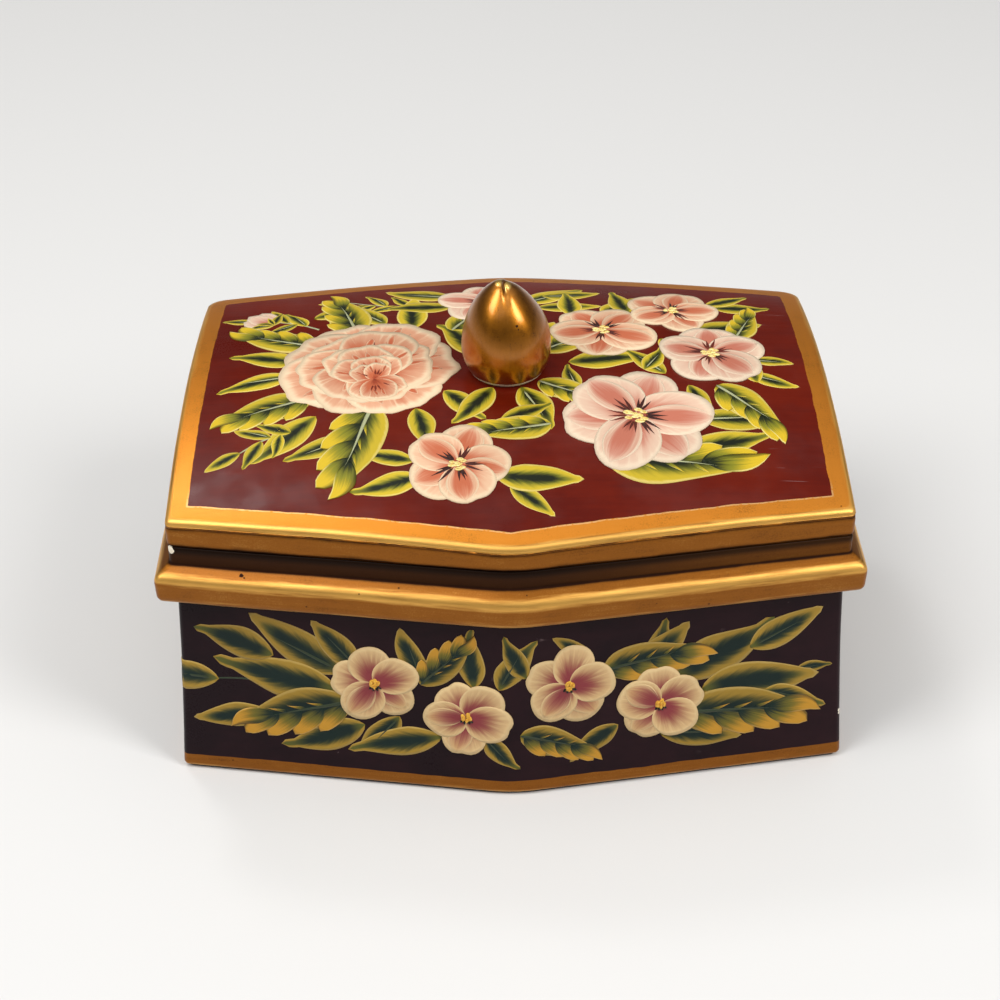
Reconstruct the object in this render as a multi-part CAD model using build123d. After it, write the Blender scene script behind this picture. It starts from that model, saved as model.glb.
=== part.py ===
from build123d import *
import os
from math import asin, atan2, cos, radians, sin, sqrt, tan

# Keepsake box with a lift-off lid, in millimetres. The origin is under the middle of the box,
# +Z is up, the long side lies along X and the front faces -Y.

# Plan of the neck: a long hexagon with short straight ends and a blunt ridge down front and back
neckHalfLength = 93.0
neckHalfDepthAtEnds = 58.0
neckHalfDepthAtRidge = 72.0
frontCornerRadius = 1.7
backCornerRadius = 5.5
innerCornerRadius = 2.5
cavityCornerRadius = 11.0
ridgeRadius = 45.0

# Heights, from the surface that the box stands on
feltThickness = 1.0
feltInset = 1.3
wallTop = 63.5
flangeBottom = 62.8
flangeCrest = 71.8
neckFoot = 73.9
neckTop = 79.6
mouthBottom = 59.5
lidBottom = 79.8
lidArrisAtRidge = 87.1
crownRise = 10.4
toolSpare = 5.0  # how far a cutting block runs past what it cuts

# The wall leans in as it rises, with a slight hollow: (height, distance outside the neck's plan)
wallSections = [(feltThickness, 3.3), (20.0, 1.75), (42.0, 0.2), (wallTop, -1.0)]
castingThickness = 5.6
floorTop = feltThickness + castingThickness
floorRounding = 5.0
roundingChords = 4
footBevel = 0.8

# Flange moulding
flangeReach = 4.5
shoulderReach = 2.7
flangeUpperRounding = 1.7
flangeLowerRounding = 2.6

# Neck and the lid that stands on it
neckInset = 6.2
neckBevel = 1.1
lidReach = 0.1
lidLowerBevel = 0.9
arrisBevel = 0.9
endArrisDrop = 0.9
lidThickness = 5.2
rimClearance = 0.6
rimWidth = 3.6
rimDepth = 4.6

# Egg knob
knobX = 0.0
knobY = 1.0
knobRadius = 13.0
knobFootRadius = 9.8
knobFootHeight = 0.7
knobBelly = 8.2
knobUpperHeight = 21.0
knobTipRadius = 5.3
knobSideChords = 5
knobUnderChords = 2
seatDepth = 0.25
seatClearance = 0.1
spigotRadius = 3.5
spigotLength = 3.4
spigotClearance = 0.15
blindEndClearance = 0.3

facetAngle = atan2(neckHalfDepthAtRidge - neckHalfDepthAtEnds, neckHalfLength)


def hexagon(offset, corner=None):
    """The neck's plan moved outwards by offset, with rounded corners and a blunt ridge."""
    length = neckHalfLength + offset
    ridgeDepth = neckHalfDepthAtRidge + offset / cos(facetAngle)
    endDepth = ridgeDepth - length * tan(facetAngle)
    corners = [
        (-length, -endDepth),
        (0, -ridgeDepth),
        (length, -endDepth),
        (length, endDepth),
        (0, ridgeDepth),
        (-length, endDepth),
    ]
    face = make_face(Polyline(*corners, close=True))
    for side, radius in ((-1, frontCornerRadius), (1, backCornerRadius)):
        atCorners = [v for v in face.vertices() if abs(v.X) > 1 and v.Y * side > 0]
        face = fillet(atCorners, corner or radius)
    atRidge = [v for v in face.vertices() if abs(v.X) < 1]
    return fillet(atRidge, ridgeRadius + offset)


def prism(offset, bottom, top, corner=None):
    """A straight block with the box's plan between two heights."""
    return extrude(Pos(0, 0, bottom) * hexagon(offset, corner), top - bottom)


def taperedBlock(sections, corner=None):
    """A block whose outline moves in or out as it rises, straight from each (height, offset) to the next."""
    return loft([Pos(0, 0, height) * hexagon(offset, corner) for height, offset in sections], ruled=True)


def roundedFoot(height, reach, radius):
    """The sections of a rounded lower edge, as chords: it starts at this height and ends at this reach."""
    angles = [radians(90 * step / roundingChords) for step in range(roundingChords + 1)]
    return [(height + radius * (1 - cos(angle)), reach - radius * (1 - sin(angle))) for angle in angles]


def roundedTop(height, reach, radius):
    """The sections of a rounded upper edge, as chords: it starts at this reach and ends at this height."""
    angles = [radians(90 * step / roundingChords) for step in range(roundingChords + 1)]
    return [(height - radius * (1 - sin(angle)), reach - radius * (1 - cos(angle))) for angle in angles]


def edgesAtHeight(solid, height):
    """The edges of a solid that lie in one level plane."""
    return [
        e for e in solid.edges()
        if abs(e.bounding_box().min.Z - height) < 0.01 and abs(e.bounding_box().max.Z - height) < 0.01
    ]


def crown(top):
    """Everything below the lid's crown: an arch across the depth, slightly bowed along the length."""
    acrossFall = crownRise
    acrossRadius = (neckHalfDepthAtRidge ** 2 + acrossFall ** 2) / (2 * acrossFall)
    fallAtCorner = crownRise * (neckHalfDepthAtEnds / neckHalfDepthAtRidge) ** 2
    alongFall = crownRise - endArrisDrop - fallAtCorner
    alongRadius = (neckHalfLength ** 2 + alongFall ** 2) / (2 * alongFall)
    reach = neckHalfDepthAtRidge + toolSpare
    drop = acrossRadius - sqrt(acrossRadius ** 2 - reach ** 2)
    arch = ThreePointArc((0, -reach, top - drop), (0, 0, top), (0, reach, top - drop))
    sides = Polyline((0, reach, top - drop), (0, reach, 0), (0, -reach, 0), (0, -reach, top - drop))
    section = make_face(Wire([arch] + list(sides.edges())))
    sweepAngle = 8
    bowAxis = Axis((0, 0, top - alongRadius), (0, 1, 0))
    return revolve(section.rotate(bowAxis, -sweepAngle / 2), bowAxis, sweepAngle)


def makeBody():
    wall = taperedBlock(wallSections)
    wall = chamfer(edgesAtHeight(wall, feltThickness), footBevel)

    underside = roundedFoot(flangeBottom, flangeReach, flangeLowerRounding)
    crest = roundedTop(flangeCrest, flangeReach, flangeUpperRounding)
    flange = taperedBlock(underside + crest)
    shoulder = taperedBlock([(flangeCrest, shoulderReach), (neckFoot, 0)])

    neck = prism(0, flangeBottom, neckTop)
    neck = chamfer(edgesAtHeight(neck, neckTop), neckBevel)

    foot, rim = wallSections[0][1] - castingThickness, wallSections[-1][1] - castingThickness
    floor = roundedFoot(floorTop, foot, floorRounding)
    cavity = taperedBlock(floor + [(wallTop, rim)], cavityCornerRadius)
    mouth = prism(-neckInset, mouthBottom, neckTop + toolSpare, innerCornerRadius)
    return wall + flange + shoulder + neck - cavity - mouth


def knobSocket(base):
    """The flat seat that the knob stands on, with the blind hole for its spigot."""
    seatRadius = knobFootRadius + seatClearance
    holeRadius = spigotRadius + spigotClearance
    holeBottom = base - spigotLength - blindEndClearance
    above = base + toolSpare
    outline = Polyline((0, holeBottom), (holeRadius, holeBottom), (holeRadius, base), (seatRadius, base),
                       (seatRadius, above), (0, above), close=True)
    return Pos(knobX, knobY, 0) * revolve(make_face(Plane.XZ * outline), Axis.Z)


def makeLid():
    crownTop = lidArrisAtRidge + crownRise
    shell = prism(lidReach, lidBottom, crownTop + toolSpare) & crown(crownTop)
    arris = [e for e in shell.edges() if e.bounding_box().min.Z > lidBottom + lidLowerBevel]
    shell = chamfer(arris, arrisBevel)
    shell = chamfer(edgesAtHeight(shell, lidBottom), lidLowerBevel)
    shell = shell - knobSocket(crownTop - seatDepth)

    rimReach = -neckInset - rimClearance
    rim = prism(rimReach, lidBottom - rimDepth, lidBottom + lidLowerBevel, innerCornerRadius)
    hollow = prism(rimReach - rimWidth, lidBottom - rimDepth - toolSpare, crownTop, innerCornerRadius)
    hollow = hollow & crown(crownTop - lidThickness)
    return shell + rim - hollow


def makeKnob():
    base = lidArrisAtRidge + crownRise - seatDepth
    belly = (knobRadius, base + knobBelly)
    tip = (0, base + knobBelly + knobUpperHeight)
    # The side turns on a wide arc, given as chords, from the belly to where the small round tip begins
    tipCentre = knobUpperHeight - knobTipRadius
    sideRadius = (tipCentre ** 2 + knobRadius ** 2 - knobTipRadius ** 2) / (2 * (knobRadius - knobTipRadius))
    turn = atan2(tipCentre, sideRadius - knobRadius)
    side = []
    for step in range(knobSideChords + 1):
        angle = turn * step / knobSideChords
        side.append((knobRadius - sideRadius * (1 - cos(angle)), belly[1] + sideRadius * sin(angle)))

    # Under the belly it is round, in fewer chords, down to the bare foot
    footTop = base + knobFootHeight
    underAngle = asin((knobBelly - knobFootHeight) / knobRadius)
    under = []
    for step in range(knobUnderChords, 0, -1):
        angle = underAngle * step / knobUnderChords
        under.append((knobRadius * cos(angle), belly[1] - knobRadius * sin(angle)))

    egg = [Polyline(*under, *side), TangentArc(tip, side[-1], tangent=(1, 0))]
    foot = Polyline(under[0], (knobFootRadius, footTop), (knobFootRadius, base), (spigotRadius, base),
                    (spigotRadius, base - spigotLength), (0, base - spigotLength), tip)
    outline = [edge for line in egg + [foot] for edge in line.edges()]
    section = make_face(Plane.XZ * Wire(outline))
    return Pos(knobX, knobY, 0) * revolve(section, Axis.Z)


def makeFelt():
    return prism(wallSections[0][1] - feltInset, 0, feltThickness)


pieces = {
    "box_body": makeBody(),
    "lid": makeLid(),
    "knob": makeKnob(),
    "base_felt": makeFelt(),
}

os.makedirs("parts", exist_ok=True)
for name, solid in pieces.items():
    export_step(solid, f"parts/{name}.step")
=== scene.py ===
import bmesh
import bpy
import random
from math import asin, atan2, cos, exp, pi, radians, sin, sqrt, tan
from mathutils import Matrix, Vector, noise


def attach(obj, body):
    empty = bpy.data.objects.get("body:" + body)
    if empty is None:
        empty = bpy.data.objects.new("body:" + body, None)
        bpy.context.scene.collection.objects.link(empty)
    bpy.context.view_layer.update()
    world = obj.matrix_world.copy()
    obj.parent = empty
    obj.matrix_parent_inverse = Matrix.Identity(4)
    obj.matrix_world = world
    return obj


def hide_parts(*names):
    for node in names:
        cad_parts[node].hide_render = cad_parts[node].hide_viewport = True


# Keepsake box of painted ceramic with a lift-off lid. Lengths are in millimetres and are turned into
# metres where a vertex is placed; the floor and the lamps alone are given in metres. The origin, axes
# and heights are the frame's own.
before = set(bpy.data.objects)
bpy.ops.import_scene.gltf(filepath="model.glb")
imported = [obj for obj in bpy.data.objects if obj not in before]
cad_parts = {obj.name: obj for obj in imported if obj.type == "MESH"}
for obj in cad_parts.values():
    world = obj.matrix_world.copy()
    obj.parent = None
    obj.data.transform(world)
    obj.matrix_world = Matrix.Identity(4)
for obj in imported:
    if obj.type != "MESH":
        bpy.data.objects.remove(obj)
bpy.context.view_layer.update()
mm = 0.001
dice = random.Random(11)  # one seeded source for every uneven brush stroke
vary = dice.uniform
noise.seed_set(11)  # left alone, the noise vectors would differ from run to run


# Small helpers for meshes, colours and nodes

def addObject(name, data):
    made = bpy.data.objects.new(name, data)
    bpy.context.scene.collection.objects.link(made)
    return made


def meshObject(bm, name, material):
    mesh = bpy.data.meshes.new(name)
    bm.to_mesh(mesh)
    bm.free()
    mesh.materials.append(material)
    return addObject(name, mesh)


def finishMesh(bm, name, body, material):
    piece = meshObject(bm, name, material)
    piece.data.polygons.foreach_set("use_smooth", [True] * len(piece.data.polygons))
    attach(piece, body)
    return piece


def tone(red, green, blue):  # a screen colour, 0 to 255, as the shader wants it
    linear = [((c / 255 + 0.055) / 1.055) ** 2.4 if c > 10 else c / 255 / 12.92 for c in (red, green, blue)]
    return (*linear, 1.0)


def ease(value, low, high):
    share = min(max((value - low) / (high - low), 0.0), 1.0)
    return share * share * (3 - 2 * share)


def feed(sockets, values):  # each named socket is linked, or set where its value is a plain one
    for key, value in values.items():
        socket = sockets[key]
        if isinstance(value, bpy.types.NodeSocket):
            socket.id_data.links.new(value, socket)
        else:
            socket.default_value = value


def addNode(tree, kind, inputs=None, **settings):
    made = tree.nodes.new(kind)
    for key, value in settings.items():
        setattr(made, key, value)
    feed(made.inputs, inputs or {})
    return made


def calculate(operation, *values):  # the node goes in the tree that its first socket is in
    tree = next(value.id_data for value in values if isinstance(value, bpy.types.NodeSocket))
    return addNode(tree, "ShaderNodeMath", dict(enumerate(values)), operation=operation).outputs[0]


def plus(first, second):
    return calculate("ADD", first, second)


def minus(first, second):
    return calculate("SUBTRACT", first, second)


def times(first, second):
    return calculate("MULTIPLY", first, second)


def scaled(value, factor, offset):
    return calculate("MULTIPLY_ADD", value, factor, offset)


def shifted(value, streak, amount):  # the value moved up and down by a noise
    return scaled(minus(streak, 0.5), amount, value)


def ramp(value, low, high):  # 0 below low, 1 above high, eased between
    inputs = {"Value": value, "From Min": low, "From Max": high}
    made = addNode(value.id_data, "ShaderNodeMapRange", inputs, interpolation_type="SMOOTHSTEP")
    return made.outputs["Result"]


def mixColour(share, under, over):
    inputs = {0: share, 6: under, 7: over}
    return addNode(share.id_data, "ShaderNodeMix", inputs, data_type="RGBA").outputs[2]


def mixValue(share, under, over):
    inputs = {0: share, 2: under, 3: over}
    return addNode(share.id_data, "ShaderNodeMix", inputs, data_type="FLOAT").outputs[0]


def readAttribute(tree, name):
    return addNode(tree, "ShaderNodeAttribute", attribute_name=name).outputs["Fac"]


def grain(vector, scale, detail=3.0, roughness=0.55, distortion=0.0):
    inputs = {"Vector": vector, "Scale": scale, "Detail": detail, "Roughness": roughness,
              "Distortion": distortion}
    return addNode(vector.id_data, "ShaderNodeTexNoise", inputs).outputs["Fac"]


def alongAxis(vector, axis):
    return addNode(vector.id_data, "ShaderNodeSeparateXYZ", {0: vector}).outputs[axis]


def joined(x, y, z):
    return addNode(x.id_data, "ShaderNodeCombineXYZ", {0: x, 1: y, 2: z}).outputs[0]


def stretched(vector, scale, turn=0.0):
    inputs = {"Vector": vector, "Scale": scale, "Rotation": (0.0, 0.0, turn)}
    return addNode(vector.id_data, "ShaderNodeMapping", inputs).outputs[0]


def bumped(height, depth):  # the normal of a surface whose height is given, its depth in millimetres
    return addNode(height.id_data, "ShaderNodeBump", {"Height": height, "Distance": depth * mm}).outputs[0]


def millimetres(tree):  # the point's own place on the box, in millimetres
    where = addNode(tree, "ShaderNodeTexCoord").outputs["Object"]
    return addNode(tree, "ShaderNodeVectorMath", {0: where, "Scale": 1 / mm}, operation="SCALE").outputs[0]


def newGroup(name, inputs, outputs):
    # An input's kind follows from its value: a number, a vector of 3 or a colour of 4
    tree = bpy.data.node_groups.new(name, "ShaderNodeTree")
    for label, value in inputs.items():
        kind = "Float" if isinstance(value, float) else {3: "Vector", 4: "Color"}[len(value)]
        socket = tree.interface.new_socket(label, in_out="INPUT", socket_type="NodeSocket" + kind)
        socket.default_value = value
    for label in outputs:
        kind = "Color" if label == "Base Color" else "Float"
        tree.interface.new_socket(label, in_out="OUTPUT", socket_type="NodeSocket" + kind)
    return tree, addNode(tree, "NodeGroupInput").outputs, addNode(tree, "NodeGroupOutput").inputs


def placeGroup(tree, group, **inputs):
    return dict(addNode(tree, "ShaderNodeGroup", node_tree=group, inputs=inputs).outputs.items())


def newMaterial(name):
    material = bpy.data.materials.new(name)
    material.use_nodes = True
    tree = material.node_tree
    return material, tree, tree.nodes["Principled BSDF"]


# The box's plan: a long hexagon with short straight ends and a blunt ridge down front and back

plan = {
    "halfLength": 93.0,
    "endDepth": 58.0,
    "ridgeDepth": 72.0,
    "frontCorner": 1.7,
    "backCorner": 5.5,
    "innerCorner": 2.5,
    "ridgeRadius": 45.0,
    "steps": (6, 26, 7, 16),  # round the ridge, along a facet, round a corner, to the middle of the end
}
facetLean = atan2(plan["ridgeDepth"] - plan["endDepth"], plan["halfLength"])


def quarterShape(offset, corner):
    # The plan moved outwards by the offset, from the front ridge to the middle of the right end
    bend = plan["ridgeRadius"] + offset
    length = plan["halfLength"] + offset
    ridge = plan["ridgeDepth"] + offset / cos(facetLean)
    turn = pi / 2 - facetLean
    return bend, length, ridge, ridge - length * tan(facetLean), turn, corner * tan(turn / 2)


def quarterLengths(offset, corner):
    bend, length, ridge, end, turn, cornerReach = quarterShape(offset, corner)
    facet = length / cos(facetLean) - bend * tan(facetLean) - cornerReach
    return bend * facetLean, facet, corner * turn, end - cornerReach


def quarterPoint(offset, corner, part, share):
    bend, length, ridge, end, turn, cornerReach = quarterShape(offset, corner)
    if part == 0:
        angle = facetLean * share
        return bend * sin(angle), -ridge + bend / cos(facetLean) - bend * cos(angle)
    if part == 1:
        start = bend * tan(facetLean)
        along = start + share * (length / cos(facetLean) - cornerReach - start)
        return along * cos(facetLean), -ridge + along * sin(facetLean)
    if part == 2:
        angle = facetLean + turn * share
        return length - corner + corner * sin(angle), -end + cornerReach - corner * cos(angle)
    return length, (cornerReach - end) * (1 - share)


def ringSteps():
    # Once round the plan, anticlockwise from the back ridge: (sign of x, sign of y, part, share)
    quarter = [(part, step / steps) for part, steps in enumerate(plan["steps"]) for step in range(steps)]
    quarter.append((3, 1.0))
    ring = [(-1, -1, *p) for p in quarter[:-1]]
    ring += [(-1, 1, *p) for p in quarter[:0:-1]]
    ring += [(1, 1, *p) for p in quarter[:-1]]
    ring += [(1, -1, *p) for p in quarter[::-1]]
    return ring


def cornerAt(signY):
    return plan["frontCorner"] if signY > 0 else plan["backCorner"]


def planDistance(x, y):
    # How far a point lies inside the plan of the neck, ignoring the rounded corners
    facet = (plan["ridgeDepth"] - abs(y)) * cos(facetLean) - abs(x) * sin(facetLean)
    return min(facet, plan["halfLength"] - abs(x))


def handMade(point):
    # Cast and rubbed down by hand: every surface wanders a little
    wander = noise.noise_vector(point / 34.0)
    return point + Vector((wander.x, wander.y, wander.z * 0.7)) * 0.13


# The lid's crown: an arch across the depth, slightly bowed along the length

crown = {"arrisAtRidge": 87.1, "rise": 10.4, "endDrop": 0.9}
acrossRadius = (plan["ridgeDepth"] ** 2 + crown["rise"] ** 2) / (2 * crown["rise"])
crownAlongFall = crown["rise"] * (1 - (plan["endDepth"] / plan["ridgeDepth"]) ** 2) - crown["endDrop"]
alongRadius = (plan["halfLength"] ** 2 + crownAlongFall ** 2) / (2 * crownAlongFall)
crownTop = crown["arrisAtRidge"] + crown["rise"]


def crownHeight(x, y):
    bow = alongRadius - (acrossRadius - sqrt(acrossRadius ** 2 - y * y))
    return crownTop - alongRadius + sqrt(bow * bow - x * x)


# A moulding is a list of stations that the plan is drawn through: (offset, scale, corner, height at x
# and y, mark). The mark is 1 on an arris, where handling rubs the gold and a highlight is painted, and -1 in
# a recess or under an edge, where dark glaze and painted shade go.

def softSection(corners, steps=5, fade=0.7, most=0.46):
    # Rounds the corners (offset, height, radius, mark); most is the share of a side that a rounding may take
    stations = []
    for index, (offset, height, radius, mark) in enumerate(corners):
        here = Vector((offset, height))
        if radius == 0:
            stations.append((offset, height, mark))
            continue
        back = Vector(corners[index - 1][:2]) - here
        ahead = Vector(corners[index + 1][:2]) - here
        half = back.angle(ahead) / 2
        reach = min(radius / tan(half), back.length * most, ahead.length * most)
        first = here + back.normalized() * reach
        last = here + ahead.normalized() * reach
        if back.length > (reach + fade) * 2:
            stations.append((*(first + back.normalized() * fade), 0.0))
        for step in range(steps + 1):
            share = step / steps
            bow = first * (1 - share) ** 2 + here * 2 * share * (1 - share) + last * share ** 2
            stations.append((*bow, mark * sin(pi * (0.15 + 0.7 * share))))
        if ahead.length > (reach + fade) * 2:
            stations.append((*(last + ahead.normalized() * fade), 0.0))
    return stations


def level(height):
    return lambda x, y: height


def belowCrown(drop):
    return lambda x, y: crownHeight(x, y) - drop


def fullSize(section, corner=None, heightRule=level):
    # The stations of a section at full scale. Inside the neck the plan has its own small corners.
    inner = plan["innerCorner"]
    return [(o, 1.0, corner or (inner if o < -4 else None), heightRule(h), m) for o, h, m in section]


def drawMoulding(name, body, material, stations):
    ring = ringSteps()
    bm = bmesh.new()
    sectionLayer = bm.verts.layers.float.new("section")
    markLayer = bm.verts.layers.float.new("mark")
    fieldLayer = bm.verts.layers.float.new("field")
    columns = len(ring)
    made = bmesh.ops.create_grid(bm, x_segments=columns - 1, y_segments=len(stations) - 1, size=1)
    section, before = 0.0, None
    for index, vertex in enumerate(made["verts"]):
        column = index % columns
        offset, scale, corner, height, mark = stations[index // columns]
        signX, signY, part, share = ring[column]
        x, y = quarterPoint(offset, corner or cornerAt(signY), part, share)
        x, y = x * signX * scale, y * signY * scale
        point = Vector((x, y, height(x, y)))
        if column == 0:  # the length of the section is measured at the back ridge alone
            section += (point - before).length if before else 0.0
            before = point
        vertex[sectionLayer] = section
        vertex[markLayer] = mark
        vertex[fieldLayer] = planDistance(x, y)
        vertex.co = handMade(point) * mm
    bmesh.ops.remove_doubles(bm, verts=bm.verts, dist=0.00001)
    bmesh.ops.recalc_face_normals(bm, faces=bm.faces)
    return finishMesh(bm, name, body, material)


# Body of the box

bodyValues = {
    "foot": 1.0,
    "footRounding": 1.3,
    "wallTop": 62.8,
    "flangeCrest": 71.7,
    "flangeReach": 4.35,
    "shoulderFoot": 73.9,
    "neckTop": 79.6,
    "neckInset": 6.2,
    "plainWallFoot": 8.0,
    "mouthBottom": 60.0,
    "cavityFoot": 14.0,
    "floor": 6.6,
    "floorInset": 2.3,
    "floorRounding": 5.0,
    "floorEdge": 10,
    "cavityCorner": 11.0,
    "goldBand": 5.5,
    "paintTop": 62.75,
    # knocks that bare the clay, and pits in the glaze: centre, size
    "chips": [((94.9, -59.2, 17.0), 0.6), ((94.7, -59.1, 16.0), 0.5), ((-92.5, -57.9, 78.6), 1.25)],
    "pits": [((-73.0, -62.6, 72.9), 0.6), ((-72.2, -63.2, 72.5), 0.42)],
}
wallCurve = [(1.0, 3.3), (20.0, 1.75), (42.0, 0.2), (63.5, -1.0)]  # height, reach beyond the neck's plan


def wallReach(height):
    # A smooth hollow curve through the wall's stations
    last = len(wallCurve) - 1
    index = 0
    while index < last - 1 and height > wallCurve[index + 1][0]:
        index += 1
    (low, wide), (high, narrow) = wallCurve[index], wallCurve[index + 1]
    share = (height - low) / (high - low)
    slopes = []
    for point in (index, index + 1):
        under, reachUnder = wallCurve[max(point - 1, 0)]
        over, reachOver = wallCurve[min(point + 1, last)]
        slopes.append((reachOver - reachUnder) / (over - under))
    rise = high - low
    return (wide * (1 + 2 * share) * (1 - share) ** 2 + slopes[0] * rise * share * (1 - share) ** 2
            + narrow * share ** 2 * (3 - 2 * share) + slopes[1] * rise * share ** 2 * (share - 1))


def bodyStations():
    v = bodyValues
    wallSteps = 15
    wallFoot, wallTop = v["plainWallFoot"], v["wallTop"]
    stations = [(0.0, share, None, level(v["foot"]), 0.0) for share in (0.0, 0.3, 0.6, 0.9)]
    # The foot's rounding is marked for rubbed wear and a painted highlight.
    stations += fullSize(softSection([
        (-2.0, v["foot"], 0, 0.0),
        (3.3, v["foot"], v["footRounding"], 0.6),
        (wallReach(wallFoot), wallFoot, 0, 0.0),
    ]))
    for step in range(1, wallSteps):
        height = wallFoot + (wallTop - 1.2 - wallFoot) * step / wallSteps
        stations += fullSize([(wallReach(height), height, 0.0)])
    # The crest's mark gives rubbed wear and a painted highlight. The marks under the flange and where the
    # shoulder meets the neck give dark glaze and painted shade.
    reach, crest, rim = v["flangeReach"], v["flangeCrest"], -v["neckInset"]
    stations += fullSize(softSection([
        (wallReach(60.0), 60.6, 0, 0.0),
        (wallReach(wallTop), wallTop, 0.45, -0.9),
        (reach - 0.25, wallTop + 0.1, 2.3, 0.55),
        (reach, crest - 0.15, 4.6, 0.95),
        (0.0, v["shoulderFoot"], 0.9, -0.8),
        (0.0, v["neckTop"], 1.1, 0.0),
        (rim, v["neckTop"], 0.9, 0.0),
        (rim, v["mouthBottom"], 0, 0.0),
    ]))
    # The cavity widens below the neck, and its corners with it
    for share in (0.25, 0.5, 0.75):
        height = v["mouthBottom"] + (v["cavityFoot"] - v["mouthBottom"]) * share
        corner = plan["innerCorner"] + (v["cavityCorner"] - plan["innerCorner"]) * share
        stations += fullSize([(rim + (rim + v["floorInset"]) * -share, height, 0.0)], corner)
    inner = -v["floorInset"] - v["floorEdge"]
    stations += fullSize(softSection([
        (-v["floorInset"], v["cavityFoot"], 0, 0.0),
        (-v["floorInset"], v["floor"], v["floorRounding"], 0.0),
        (inner, v["floor"], 0, 0.0),
    ], steps=7), v["cavityCorner"])
    for share in (0.75, 0.5, 0.25, 0.0):
        stations.append((inner, share, v["cavityCorner"], level(v["floor"]), 0.0))
    return stations


# Lid

lidValues = {
    "bottom": 79.8,
    "reach": 0.1,
    "lowerRounding": 1.5,
    "arrisRounding": 2.0,
    "coveDepth": 0.16,
    "thickness": 5.2,
    "rimOuter": 6.8,
    "rimWidth": 3.6,
    "rimDepth": 4.6,
    "borderWidth": 6.02,
    "paleLine": 5.55,
    "chips": [(-51.2, 64.35, 1.0), (-50.2, 64.5, 0.8)],  # knocks on the arris: x, y, size
}


def lidStations():
    v = lidValues
    inside = -v["rimOuter"] - v["rimWidth"]
    rimFoot = v["bottom"] - v["rimDepth"]
    inner = plan["innerCorner"]
    ceiling = belowCrown(v["thickness"])
    # Negative marks inside the lid, on its rim and on its lower rounding give dark glaze and painted shade
    # under the lid.
    stations = [(inside - 2, share, inner, ceiling, 0.0) for share in (0.0, 0.25, 0.5, 0.75)]
    stations.append((inside - 1.2, 1.0, inner, ceiling, 0.0))
    stations.append((inside - 0.3, 1.0, inner, belowCrown(v["thickness"] + 0.25), -0.4))
    stations += fullSize(softSection([
        (inside, v["bottom"] + 0.5, 0, 0.0),
        (inside, rimFoot, 0.8, 0.5),
        (-v["rimOuter"], rimFoot, 0.8, 0.5),
        (-v["rimOuter"], v["bottom"], 0.4, -0.6),
        (v["reach"], v["bottom"], v["lowerRounding"], -0.7),
        (v["reach"], v["bottom"] + 2.2, 0, 0.0),
    ]))
    # The side and the arris hang from the crown, so their heights are drops below it
    # The cove's mark gives a dark line of glaze and painted shade below the arris, and the arris's mark
    # rubbed wear and a painted highlight.
    stations += fullSize(softSection([
        (v["reach"], 4.6, 0, 0.0),
        (v["reach"], 3.4, 0.5, 0.0),
        (v["reach"] - v["coveDepth"], 2.3, 0.7, -0.95),
        (v["reach"], 0.0, v["arrisRounding"], 1.0),
        (v["reach"] - 3.4, 0.0, 0, 0.0),
    ], most=0.8), heightRule=belowCrown)
    for offset in (-4.6, -5.4, -6.0, -6.6, -7.6, -9.5):
        stations.append((offset, 1.0, None, belowCrown(0.0), 0.0))
    crownRings = 26
    for step in range(1, crownRings + 1):
        stations.append((offset, 1 - step / crownRings, None, belowCrown(0.0), 0.0))
    return stations


# Finishes. Each effect that several materials share is a node group.

bareClay = (236, 226, 206)
darkPit = (48, 26, 14)


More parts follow.
